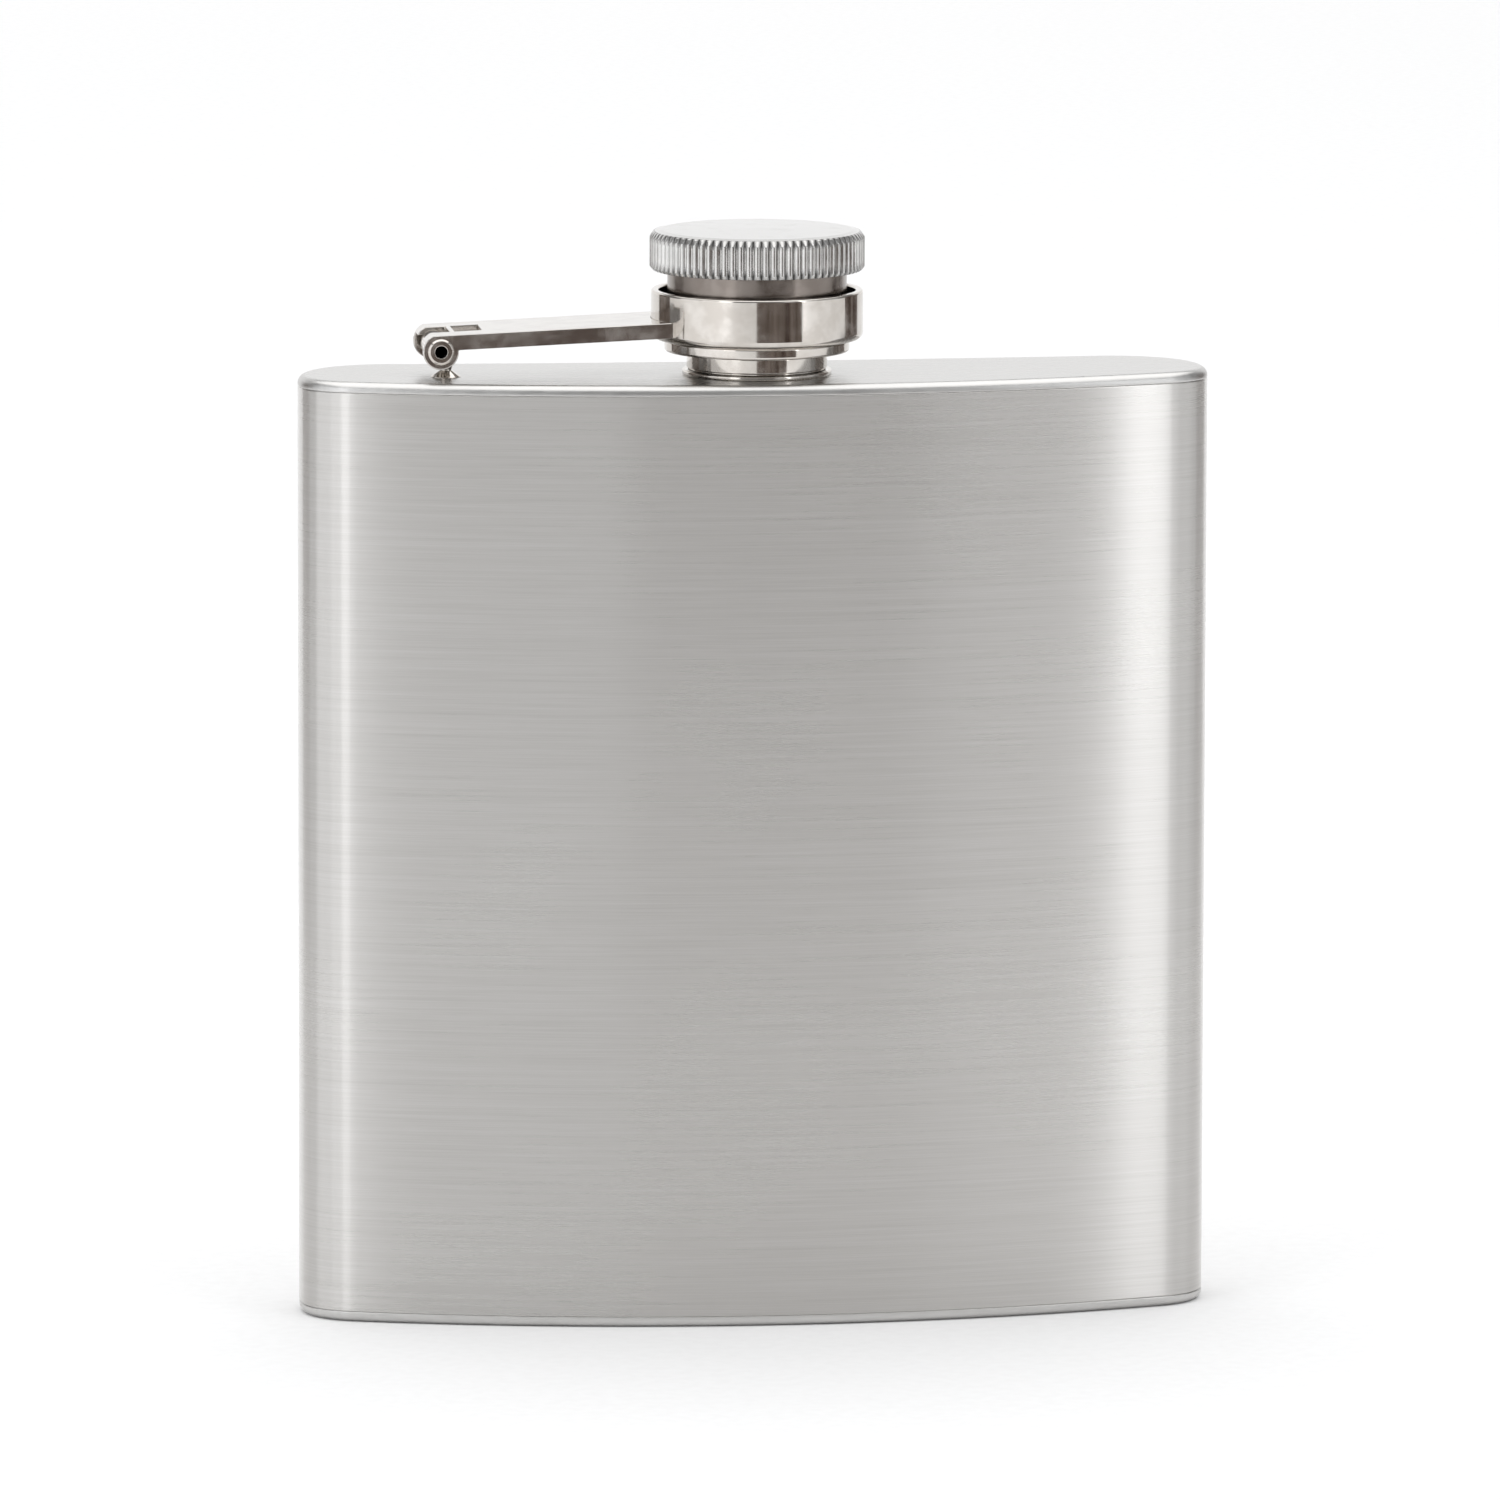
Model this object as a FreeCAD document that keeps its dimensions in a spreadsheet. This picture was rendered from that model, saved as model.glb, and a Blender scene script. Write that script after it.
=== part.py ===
import FreeCAD, Part
import math
import os
import re
import Sketcher

# Hip flask with a captive screw cap: a curved sheet-steel bottle closed by two welded plates,
# a threaded neck, and a knurled cap held in the ring of an arm that swings on a small post.
# Origin: bottom face of the flask, on the axis of the neck.  +Z up, front towards -Y.
# Fittings are drawn from the shoulder face upwards and then lifted by body_height.

os.makedirs("parts", exist_ok=True)
doc = FreeCAD.newDocument("hip_flask")

# ---------------------------------------------------------------- driving dimensions, mm and degrees
driving = {
    "body_width": 95.0,
    "body_height": 98.4,
    "body_thickness": 22.6,
    "front_radius": 134.0,
    "rear_radius": 626.0,
    "front_corner": 7.0,
    "rear_corner": 9.5,
    "wall": 0.6,
    "rim_height": 1.1,
    "rim_round": 0.9,
    "skirt_depth": 2.5,
    "skirt_wall": 0.5,
    "fit_gap": 0.02,
    "weld_width": 1.0,
    "weld_proud": 0.3,
    "weld_inset": 4.0,
    "weld_centre": 2.63,
    "neck_bore": 5.6,
    "neck_spigot": 7.0,
    "spigot_depth": 1.2,
    "seat_radius": 7.75,
    "seat_height": 0.5,
    "neck_groove": 7.1,
    "groove_top": 0.7,
    "neck_radius": 7.3,
    "neck_step": 2.3,
    "thread_root": 6.65,
    "thread_crest": 7.1,
    "thread_pitch": 1.5,
    "thread_start": 3.2,
    "thread_length": 6.6,
    "thread_foot": 0.5,
    "thread_tip": 0.15,
    "neck_height": 10.7,
    "neck_lip": 0.4,
    "clip_low": 2.4,
    "clip_top": 3.62,
    "clip_radius": 9.6,
    "clip_inner": 8.15,
    "clip_edge": 0.2,
    "bead_low": 2.8,
    "bead_top": 3.1,
    "bead_radius": 8.9,
    "run_gap": 0.05,
    "sleeve_bore": 8.0,
    "sleeve_waist": 8.6,
    "sleeve_radius": 9.3,
    "waist_top": 6.6,
    "waist_flare": 0.4,
    "sleeve_top": 13.9,
    "gasket_low": 12.7,
    "gasket_radius": 7.95,
    "head_low": 10.85,
    "head_radius": 11.15,
    "head_edge": 0.3,
    "head_band": 14.2,
    "head_rim": 10.85,
    "head_rim_top": 14.75,
    "head_flat": 9.85,
    "head_flat_top": 15.0,
    "head_top": 15.1,
    "knurl_count": 80,
    "knurl_depth": 0.3,
    "knurl_width": 0.62,
    "ring_low": 3.67,
    "ring_top": 8.8,
    "ring_radius": 11.0,
    "ring_wall": 0.8,
    "ring_hole": 8.95,
    "ring_round": 0.6,
    "pin_distance": 33.45,
    "pin_height": 3.2,
    "pin_radius": 0.85,
    "pin_hollow": 0.65,
    "pin_proud": 0.25,
    "rivet_head": 1.45,
    "rivet_flat": 1.15,
    "arm_slope": 2.5,
    "arm_width": 11.3,
    "arm_top": 1.7,
    "arm_sheet": 0.8,
    "arm_flange": 1.6,
    "ear_radius": 1.85,
    "arm_reach": 26.0,
    "notch_width": 5.0,
    "notch_end": 1.3,
    "slot_start": 1.85,
    "slot_end": 4.65,
    "eye_radius": 1.35,
    "eye_width": 4.4,
    "stem_offset": 1.05,
    "stem_radius": 0.55,
    "foot_radius": 1.6,
    "foot_height": 0.7,
    "head_flare": 1.15,
}

sheet = doc.addObject("Spreadsheet::Sheet", "Sizes")
for row, (alias, number) in enumerate(driving.items(), start=1):
    sheet.set("A%d" % row, alias)
    sheet.set("B%d" % row, str(number))
    sheet.setAlias("B%d" % row, alias)
doc.recompute()


def formula(text):
    """Turns "wall + fit_gap" into an expression that reads the sheet's cells."""
    return re.sub(r"[a-z]+_?[a-z_]*", r"Sizes.\g<0>", text)


def value(alias):
    """The present number in one cell."""
    return float(sheet.get(alias))


def origin_plane(body, role):
    return [item for item in body.Origin.OriginFeatures if item.Role == role][0]


def new_body(label):
    body = doc.addObject("PartDesign::Body", label)
    body.Label = label
    return body


def new_sketch(body, name, role, lift=None):
    """A sketch on one of the body's own origin planes, raised along its normal by a formula."""
    sketch = body.newObject("Sketcher::SketchObject", name)
    sketch.AttachmentSupport = [(origin_plane(body, role), "")]
    sketch.MapMode = "FlatFace"
    if lift:
        sketch.setExpression(".AttachmentOffset.Base.z", formula(lift))
    return sketch


def bind(sketch, constraint, text):
    """Adds a dimension and ties it to the sheet."""
    index = sketch.addConstraint(constraint)
    sketch.setExpression("Constraints[%d]" % index, formula(text))
    return index


def place_vertex(sketch, edge, end, across, up):
    """Fixes one end of an edge at (across, up), each a formula or "0"."""
    for kind, text, axis in (("DistanceX", across, -2), ("DistanceY", up, -1)):
        if text == "0":
            sketch.addConstraint(Sketcher.Constraint("PointOnObject", edge, end, axis))
        else:
            bind(sketch, Sketcher.Constraint(kind, -1, 1, edge, end, 1.0), text)


def draw_polygon(sketch, corners):
    """A closed run of straight edges through corners given as pairs of formulas."""
    count = len(corners)
    spread = [2.0 * math.pi * index / count for index in range(count)]
    start = [FreeCAD.Vector(20 + math.cos(turn), 20 + math.sin(turn), 0) for turn in spread]
    for index in range(count):
        sketch.addGeometry(Part.LineSegment(start[index], start[(index + 1) % count]))
    for index in range(count):
        following = (index + 1) % count
        sketch.addConstraint(Sketcher.Constraint("Coincident", index, 2, following, 1))
    for index, (across, up) in enumerate(corners):
        place_vertex(sketch, index, 1, across, up)


def draw_rectangle(sketch, left, right, low, high):
    draw_polygon(sketch, [(left, low), (right, low), (right, high), (left, high)])


def draw_circle(sketch, radius):
    index = sketch.addGeometry(Part.Circle(FreeCAD.Vector(), FreeCAD.Vector(0, 0, 1), 1.0))
    sketch.addConstraint(Sketcher.Constraint("Coincident", index, 3, -1, 1))
    bind(sketch, Sketcher.Constraint("Radius", index, 1.0), radius)


def turned(label, corners):
    """A body of revolution about the neck's axis, its heights counted from the shoulder."""
    body = new_body(label)
    sketch = new_sketch(body, label + "_profile", "XZ_Plane")
    draw_polygon(sketch, corners)
    turn = body.newObject("PartDesign::Revolution", label + "_turned")
    turn.Profile = sketch
    turn.ReferenceAxis = (sketch, ["V_Axis"])
    turn.Angle = 360.0
    body.setExpression(".Placement.Base.z", formula("body_height"))
    return body


def pad(body, sketch, length, middle=False, backwards=False):
    feature = body.newObject("PartDesign::Pad", sketch.Name + "_pad")
    feature.Profile = sketch
    feature.setExpression("Length", formula(length))
    feature.Midplane = middle
    feature.Reversed = backwards
    return feature


def pocket(body, sketch, length, middle=False, backwards=False):
    feature = body.newObject("PartDesign::Pocket", sketch.Name + "_cut")
    feature.Profile = sketch
    feature.setExpression("Length", formula(length))
    feature.Midplane = middle
    feature.Reversed = backwards
    return feature


# ---------------------------------------------------------------- plan of the flask
def draw_plan(sketch, inset="0"):
    """The flask's plan: bowed front, slightly hollow back, two round ends.

    inset moves the whole outline inwards by the same distance everywhere.
    """
    step = sum(value(alias) for alias in inset.split(" + ") if alias != "0")
    half = value("body_width") / 2 - step
    thick = value("body_thickness") / 2
    front = value("front_radius") - step
    rear = value("rear_radius") + step
    near = value("front_corner") - step
    far = value("rear_corner") - step
    front_y = value("front_radius") - thick
    rear_y = value("rear_radius") + thick
    near_y = front_y - math.sqrt((front - near) ** 2 - (half - near) ** 2)
    far_y = rear_y - math.sqrt((rear + far) ** 2 - (half - far) ** 2)
    up = FreeCAD.Vector(0, 0, 1)

    def arc(x, y, radius, start, end):
        circle = Part.Circle(FreeCAD.Vector(x, y, 0), up, radius)
        return sketch.addGeometry(Part.ArcOfCircle(circle, start, end))

    lean_near = math.atan2(near_y - front_y, half - near)
    lean_far = math.atan2(rear_y - far_y, half - far)
    first = sketch.GeometryCount
    arc(0, front_y, front, math.pi - lean_near, lean_near)
    arc(half - near, near_y, near, lean_near, 0)
    sketch.addGeometry(Part.LineSegment(FreeCAD.Vector(half, near_y, 0), FreeCAD.Vector(half, far_y, 0)))
    arc(half - far, far_y, far, 0, lean_far)
    arc(0, rear_y, rear, lean_far - math.pi, -lean_far)
    arc(far - half, far_y, far, math.pi - lean_far, math.pi)
    sketch.addGeometry(Part.LineSegment(FreeCAD.Vector(-half, far_y, 0), FreeCAD.Vector(-half, near_y, 0)))
    arc(near - half, near_y, near, math.pi, math.pi - lean_near)
    names = ("front", "near_right", "side_right", "far_right", "rear", "far_left", "side_left", "near_left")
    edge = {name: first + index for index, name in enumerate(names)}

    # the rear arc bows into the outline, so it is met end to end the other way round
    joins = [
        ("front", 2, "near_right", 1), ("near_right", 2, "side_right", 1),
        ("side_right", 2, "far_right", 1), ("far_right", 2, "rear", 2),
        ("rear", 1, "far_left", 1), ("far_left", 2, "side_left", 1),
        ("side_left", 2, "near_left", 1), ("near_left", 2, "front", 1),
    ]
    for here, end, there, start in joins:
        sketch.addConstraint(Sketcher.Constraint("Tangent", edge[here], end, edge[there], start))
    sketch.addConstraint(Sketcher.Constraint("Vertical", edge["side_right"]))
    sketch.addConstraint(Sketcher.Constraint("Vertical", edge["side_left"]))
    for middle in ("front", "rear"):
        sketch.addConstraint(Sketcher.Constraint("PointOnObject", edge[middle], 3, -2))
    sketch.addConstraint(Sketcher.Constraint("Equal", edge["near_right"], edge["near_left"]))
    sketch.addConstraint(Sketcher.Constraint("Equal", edge["far_right"], edge["far_left"]))
    minus = "" if inset == "0" else " - (%s)" % inset
    plus = "" if inset == "0" else " + (%s)" % inset
    bind(sketch, Sketcher.Constraint("Radius", edge["front"], front), "front_radius" + minus)
    bind(sketch, Sketcher.Constraint("Radius", edge["rear"], rear), "rear_radius" + plus)
    bind(sketch, Sketcher.Constraint("Radius", edge["near_right"], near), "front_corner" + minus)
    bind(sketch, Sketcher.Constraint("Radius", edge["far_right"], far), "rear_corner" + minus)
    bind(sketch, Sketcher.Constraint("DistanceY", -1, 1, edge["front"], 3, front_y),
         "front_radius - body_thickness / 2")
    bind(sketch, Sketcher.Constraint("DistanceY", -1, 1, edge["rear"], 3, rear_y),
         "rear_radius + body_thickness / 2")
    bind(sketch, Sketcher.Constraint("DistanceX", -1, 1, edge["side_right"], 1, half),
         "body_width / 2" + minus)
    bind(sketch, Sketcher.Constraint("DistanceX", edge["side_left"], 1, -1, 1, half),
         "body_width / 2" + minus)


def make_shell():
    """Rolled sleeve between the two plates."""
    body = new_body("body_shell")
    sketch = new_sketch(body, "shell_plan", "XY_Plane", lift="rim_height")
    draw_plan(sketch)
    draw_plan(sketch, inset="wall")
    pad(body, sketch, "body_height - 2 * rim_height")
    return body


def make_end_plate(label):
    """Drawn plate with its outer face at height 0: rounded rim, and a skirt that plugs the sleeve."""
    body = new_body(label)
    rim = new_sketch(body, label + "_rim", "XY_Plane")
    draw_plan(rim)
    blank = pad(body, rim, "rim_height", backwards=True)
    doc.recompute()
    outer = [
        "Edge%d" % (index + 1) for index, edge in enumerate(blank.Shape.Edges)
        if abs(edge.BoundBox.ZMin) < 1e-6 and abs(edge.BoundBox.ZMax) < 1e-6
    ]
    fillet = body.newObject("PartDesign::Fillet", label + "_round")
    fillet.Base = (blank, outer)
    fillet.setExpression("Radius", formula("rim_round"))
    skirt = new_sketch(body, label + "_skirt", "XY_Plane", lift="-rim_height")
    draw_plan(skirt, inset="wall + run_gap")
    pad(body, skirt, "skirt_depth", backwards=True)
    hollow = new_sketch(body, label + "_hollow", "XY_Plane", lift="-rim_height - skirt_depth")
    draw_plan(hollow, inset="wall + run_gap + skirt_wall")
    pocket(body, hollow, "rim_height + skirt_depth - wall", backwards=True)
    return body


def make_shoulder():
    body = make_end_plate("shoulder_plate")
    hole = new_sketch(body, "neck_hole", "XY_Plane")
    draw_circle(hole, "neck_spigot + fit_gap")
    pocket(body, hole, "2 * wall")
    body.setExpression(".Placement.Base.z", formula("body_height"))
    return body


def make_base():
    """The same plate turned over about Y, so that its outer face is the floor."""
    body = make_end_plate("base_plate")
    body.Placement = FreeCAD.Placement(FreeCAD.Vector(), FreeCAD.Rotation(FreeCAD.Vector(0, 1, 0), 180))
    return body


def make_side_weld():
    """Bead of the sleeve's lengthwise weld: ground flush outside, proud on the inside."""
    bead = doc.addObject("Part::Box", "side_weld")
    bead.Label = "side_weld"
    bead.setExpression("Length", formula("weld_proud"))
    bead.setExpression("Width", formula("weld_width"))
    bead.setExpression("Height", formula("body_height - 2 * weld_inset"))
    bead.setExpression(".Placement.Base.x", formula("wall + fit_gap - body_width / 2"))
    bead.setExpression(".Placement.Base.y", formula("weld_centre - weld_width / 2"))
    bead.setExpression(".Placement.Base.z", formula("weld_inset"))
    return bead


# ---------------------------------------------------------------- neck
def make_neck():
    """Spout tube: spigot through the plate, plain collar, then a coarse screw thread."""
    body = turned("neck_tube", [
        ("neck_bore", "-spigot_depth"),
        ("neck_spigot", "-spigot_depth"),
        ("neck_spigot", "seat_height"),
        ("neck_groove", "seat_height"),
        ("neck_groove", "groove_top"),
        ("neck_radius", "groove_top"),
        ("neck_radius", "neck_step"),
        ("thread_root", "neck_step"),
        ("thread_root", "neck_height - neck_lip"),
        ("thread_root - neck_lip", "neck_height"),
        ("neck_bore", "neck_height"),
    ])
    ridge = new_sketch(body, "thread_ridge", "XZ_Plane")
    inner = "thread_root - run_gap"
    draw_polygon(ridge, [
        (inner, "thread_start - thread_foot"),
        ("thread_crest", "thread_start - thread_tip"),
        ("thread_crest", "thread_start + thread_tip"),
        (inner, "thread_start + thread_foot"),
    ])
    thread = body.newObject("PartDesign::AdditiveHelix", "neck_thread")
    thread.Profile = ridge
    thread.ReferenceAxis = (ridge, ["V_Axis"])
    thread.Mode = "pitch-height-angle"
    thread.setExpression("Pitch", formula("thread_pitch"))
    thread.setExpression("Height", formula("thread_length"))
    return body


def make_neck_seat():
    """Ring welded round the foot of the neck."""
    return turned("neck_seat_ring", [
        ("neck_spigot + fit_gap", "0"),
        ("seat_radius", "0"),
        ("seat_radius", "seat_height - clip_edge"),
        ("seat_radius - clip_edge", "seat_height"),
        ("neck_spigot + fit_gap", "seat_height"),
    ])


# ---------------------------------------------------------------- cap
def make_cap_head():
    """Knurled button, hollow underneath for the sleeve."""
    body = turned("cap_head", [
        ("0", "sleeve_top + fit_gap"),
        ("sleeve_radius + fit_gap", "sleeve_top + fit_gap"),
        ("sleeve_radius + fit_gap", "head_low"),
        ("head_radius - head_edge", "head_low"),
        ("head_radius", "head_low + head_edge"),
        ("head_radius", "head_band"),
        ("head_rim", "head_rim_top"),
        ("head_flat", "head_flat_top"),
        ("0", "head_top"),
    ])
    groove = new_sketch(body, "knurl_groove", "XY_Plane", lift="head_low")
    draw_polygon(groove, [
        ("head_radius - knurl_depth", "0"),
        ("head_radius + knurl_depth", "-knurl_width"),
        ("head_radius + knurl_depth", "knurl_width"),
    ])
    cut = pocket(body, groove, "head_rim_top - head_low", backwards=True)
    knurl = body.newObject("PartDesign::PolarPattern", "knurl")
    knurl.Originals = [cut]
    knurl.Axis = (groove, ["N_Axis"])
    knurl.Angle = 360.0
    knurl.setExpression("Occurrences", formula("knurl_count"))
    body.Tip = knurl
    return body


def make_cap_sleeve():
    """Liner pressed into the head: a narrow waist runs in the arm's ring, a bead holds the clip."""
    return turned("cap_sleeve", [
        ("sleeve_bore", "bead_low"),
        ("bead_radius", "bead_low"),
        ("bead_radius", "bead_top"),
        ("sleeve_waist", "bead_top"),
        ("sleeve_waist", "waist_top"),
        ("sleeve_radius", "waist_top + waist_flare"),
        ("sleeve_radius", "sleeve_top"),
        ("sleeve_bore", "sleeve_top"),
    ])


def make_cap_gasket():
    return turned("cap_gasket", [
        ("0", "gasket_low"),
        ("gasket_radius", "gasket_low"),
        ("gasket_radius", "sleeve_top"),
        ("0", "sleeve_top"),
    ])


def make_clip_ring():
    """Ring crimped round the sleeve's bead; the cap turns in it and cannot leave the arm's ring."""
    bead_room = "bead_radius + run_gap"
    return turned("cap_retaining_ring", [
        ("clip_inner", "clip_low"),
        ("clip_radius - clip_edge", "clip_low"),
        ("clip_radius", "clip_low + clip_edge"),
        ("clip_radius", "clip_top - clip_edge"),
        ("clip_radius - clip_edge", "clip_top"),
        ("sleeve_waist + run_gap", "clip_top"),
        ("sleeve_waist + run_gap", "bead_top + run_gap"),
        (bead_room, "bead_top + run_gap"),
        (bead_room, "bead_low - run_gap"),
        ("clip_inner", "bead_low - run_gap"),
    ])


# ---------------------------------------------------------------- arm and hinge
def make_arm_ring():
    """Drawn cup without a bottom: its inward lip rests on the clip ring."""
    return turned("arm_ring", [
        ("ring_hole", "ring_low"),
        ("ring_radius - ring_round", "ring_low"),
        ("ring_radius", "ring_low + ring_round"),
        ("ring_radius", "ring_top - clip_edge"),
        ("ring_radius - clip_edge", "ring_top"),
        ("ring_radius - ring_wall", "ring_top"),
        ("ring_radius - ring_wall", "ring_low + ring_wall"),
        ("ring_hole", "ring_low + ring_wall"),
    ])


def stand_at_pin(body, tilt=0.0):
    """Moves a body drawn round the hinge pin to its place, tilted up towards the cap."""
    body.Placement = FreeCAD.Placement(FreeCAD.Vector(), FreeCAD.Rotation(FreeCAD.Vector(0, -1, 0), tilt))
    body.setExpression(".Placement.Base.x", formula("-pin_distance"))
    body.setExpression(".Placement.Base.z", formula("body_height + pin_height"))


def make_arm_strap():
    """Folded channel: flat top, two side flanges that end in ears for the pin."""
    body = new_body("arm_strap")
    cheek = new_sketch(body, "cheek", "XZ_Plane")
    top = value("arm_top")
    under = top - value("arm_flange")
    ear = value("ear_radius")
    reach = value("arm_reach")
    tip = FreeCAD.Vector(-math.sqrt(ear ** 2 - top ** 2), top, 0)
    toe = FreeCAD.Vector(math.sqrt(ear ** 2 - under ** 2), under, 0)
    far_top = FreeCAD.Vector(reach, top, 0)
    far_low = FreeCAD.Vector(reach, under, 0)
    cheek.addGeometry(Part.LineSegment(far_top, tip))
    round_end = Part.Circle(FreeCAD.Vector(), FreeCAD.Vector(0, 0, 1), ear)
    tip_angle = math.atan2(tip.y, tip.x)
    toe_angle = math.atan2(toe.y, toe.x) + 2 * math.pi
    cheek.addGeometry(Part.ArcOfCircle(round_end, tip_angle, toe_angle))
    cheek.addGeometry(Part.LineSegment(toe, far_low))
    cheek.addGeometry(Part.LineSegment(far_low, far_top))
    for here, end, there, start in ((0, 2, 1, 1), (1, 2, 2, 1), (2, 2, 3, 1), (3, 2, 0, 1)):
        cheek.addConstraint(Sketcher.Constraint("Coincident", here, end, there, start))
    cheek.addConstraint(Sketcher.Constraint("Coincident", 1, 3, -1, 1))
    for edge, kind in ((0, "Horizontal"), (2, "Horizontal"), (3, "Vertical")):
        cheek.addConstraint(Sketcher.Constraint(kind, edge))
    bind(cheek, Sketcher.Constraint("Radius", 1, ear), "ear_radius")
    bind(cheek, Sketcher.Constraint("DistanceY", -1, 1, 0, 1, top), "arm_top")
    bind(cheek, Sketcher.Constraint("DistanceY", 2, 2, 0, 1, top - under), "arm_flange")
    bind(cheek, Sketcher.Constraint("DistanceX", -1, 1, 0, 1, reach), "arm_reach")
    pad(body, cheek, "arm_width", middle=True)

    channel = new_sketch(body, "channel", "XZ_Plane")
    draw_rectangle(channel, "-3 * ear_radius", "2 * arm_reach", "-3 * ear_radius", "arm_top - arm_sheet")
    pocket(body, channel, "arm_width - 2 * arm_sheet", middle=True)

    notch = new_sketch(body, "notch", "XY_Plane")
    draw_rectangle(notch, "-3 * ear_radius", "notch_end", "-notch_width / 2", "notch_width / 2")
    pocket(body, notch, "3 * arm_top", backwards=True)
    slot = new_sketch(body, "slot", "XY_Plane")
    draw_rectangle(slot, "slot_start", "slot_end", "-notch_width / 2", "notch_width / 2")
    pocket(body, slot, "3 * arm_top", backwards=True)

    pin_hole = new_sketch(body, "ear_holes", "XZ_Plane")
    draw_circle(pin_hole, "pin_radius + fit_gap")
    pocket(body, pin_hole, "2 * arm_width", middle=True)

    # the far end is trimmed to the ring's round wall, whose axis leans back by the slope
    trim = new_sketch(body, "ring_trim", "XY_Plane")
    lean = FreeCAD.Rotation(FreeCAD.Vector(0, 1, 0), value("arm_slope"))
    along = lean.multVec(FreeCAD.Vector(value("pin_distance"), 0, 0))
    trim.AttachmentOffset = FreeCAD.Placement(along, lean)
    draw_circle(trim, "ring_radius + fit_gap")
    pocket(body, trim, "4 * arm_reach", middle=True)
    stand_at_pin(body, value("arm_slope"))
    return body


def make_pin():
    """Tubular rivet through both ears and the post's eye, its ends rolled over into heads."""
    body = new_body("hinge_pin")
    profile = new_sketch(body, "pin_profile", "YZ_Plane")
    end, seat = "(arm_width / 2 + pin_proud)", "(arm_width / 2 + fit_gap)"
    draw_polygon(profile, [
        ("-" + end, "pin_hollow"),
        (end, "pin_hollow"),
        (end, "rivet_flat"),
        (seat, "rivet_head"),
        (seat, "pin_radius"),
        ("-" + seat, "pin_radius"),
        ("-" + seat, "rivet_head"),
        ("-" + end, "rivet_flat"),
    ])
    turn = body.newObject("PartDesign::Revolution", "pin_turned")
    turn.Profile = profile
    turn.ReferenceAxis = (profile, ["H_Axis"])
    turn.Angle = 360.0
    stand_at_pin(body)
    return body


def make_post():
    """Eye on a waisted stem with a flared foot, welded to the shoulder beside the pin's axis."""
    body = new_body("hinge_post")
    eye = new_sketch(body, "eye", "XZ_Plane")
    draw_circle(eye, "eye_radius")
    pad(body, eye, "eye_width", middle=True)
    stem_height = "pin_height - eye_radius"
    cones = (
        ("foot", "foot_radius", "stem_radius", "foot_height", "-pin_height"),
        ("waist", "stem_radius", "stem_radius", stem_height, "-pin_height"),
        ("crown", "stem_radius", "head_flare", "pin_height - 2 * foot_height", "foot_height - pin_height"),
    )
    for name, low, high, tall, level in cones:
        kind = "PartDesign::AdditiveCylinder" if low == high else "PartDesign::AdditiveCone"
        piece = body.newObject(kind, name)
        if low == high:
            piece.setExpression("Radius", formula(low))
        else:
            piece.setExpression("Radius1", formula(low))
            piece.setExpression("Radius2", formula(high))
        piece.setExpression("Height", formula(tall))
        piece.setExpression(".Placement.Base.x", formula("stem_offset"))
        piece.setExpression(".Placement.Base.z", formula(level))
    bore = new_sketch(body, "eye_bore", "XZ_Plane")
    draw_circle(bore, "pin_radius + run_gap")
    pocket(body, bore, "2 * eye_width", middle=True)
    stand_at_pin(body)
    return body


subparts = [
    make_shell(), make_side_weld(), make_shoulder(), make_base(),
    make_neck(), make_neck_seat(), make_post(),
    make_arm_strap(), make_arm_ring(), make_pin(),
    make_clip_ring(),
    make_cap_head(), make_cap_sleeve(), make_cap_gasket(),
]
doc.recompute()

for item in doc.Objects:
    if "Invalid" in item.State or "Error" in item.State:
        raise RuntimeError("%s did not compute: %s" % (item.Label, item.State))
for piece in subparts:
    if piece.Shape.isNull() or not piece.Shape.isValid():
        raise RuntimeError("%s has no valid shape" % piece.Label)
    box = piece.Shape.BoundBox
    print("%-20s solids %d  volume %9.2f  z %7.2f..%7.2f  x %7.2f..%7.2f" % (
        piece.Label, len(piece.Shape.Solids), piece.Shape.Volume, box.ZMin, box.ZMax, box.XMin, box.XMax))
    piece.Shape.exportStep("parts/%s.step" % piece.Label)
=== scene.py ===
import math
import bmesh
import bpy
import numpy as np
from mathutils import Matrix, Vector


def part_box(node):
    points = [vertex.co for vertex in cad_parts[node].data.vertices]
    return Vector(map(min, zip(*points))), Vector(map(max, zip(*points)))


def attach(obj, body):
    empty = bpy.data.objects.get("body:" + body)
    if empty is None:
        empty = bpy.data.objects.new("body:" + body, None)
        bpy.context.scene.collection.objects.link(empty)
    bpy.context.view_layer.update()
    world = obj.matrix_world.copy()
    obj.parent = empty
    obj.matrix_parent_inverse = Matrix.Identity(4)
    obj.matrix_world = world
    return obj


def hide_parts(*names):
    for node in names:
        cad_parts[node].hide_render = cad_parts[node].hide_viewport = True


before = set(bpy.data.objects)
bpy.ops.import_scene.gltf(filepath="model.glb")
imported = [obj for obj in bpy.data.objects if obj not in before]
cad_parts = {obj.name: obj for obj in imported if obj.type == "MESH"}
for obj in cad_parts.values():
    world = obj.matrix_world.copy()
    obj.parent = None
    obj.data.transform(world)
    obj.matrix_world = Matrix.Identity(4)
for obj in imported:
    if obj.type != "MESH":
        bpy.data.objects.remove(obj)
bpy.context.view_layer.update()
print("frame loaded:", len(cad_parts), "nodes")

mm = 0.001  # sizes in the dictionaries are in mm, and in metres for the studio
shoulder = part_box("shoulder_plate")[1].z / mm  # height of the shoulder face


def toLinear(code):
    # sRGB hex to the linear values that shaders take
    parts = np.array([int(code[i:i + 2], 16) for i in (1, 3, 5)]) / 255.0
    line = np.where(parts <= 0.04045, parts / 12.92, ((parts + 0.055) / 1.055) ** 2.4)
    return (*line.tolist(), 1.0)


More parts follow.
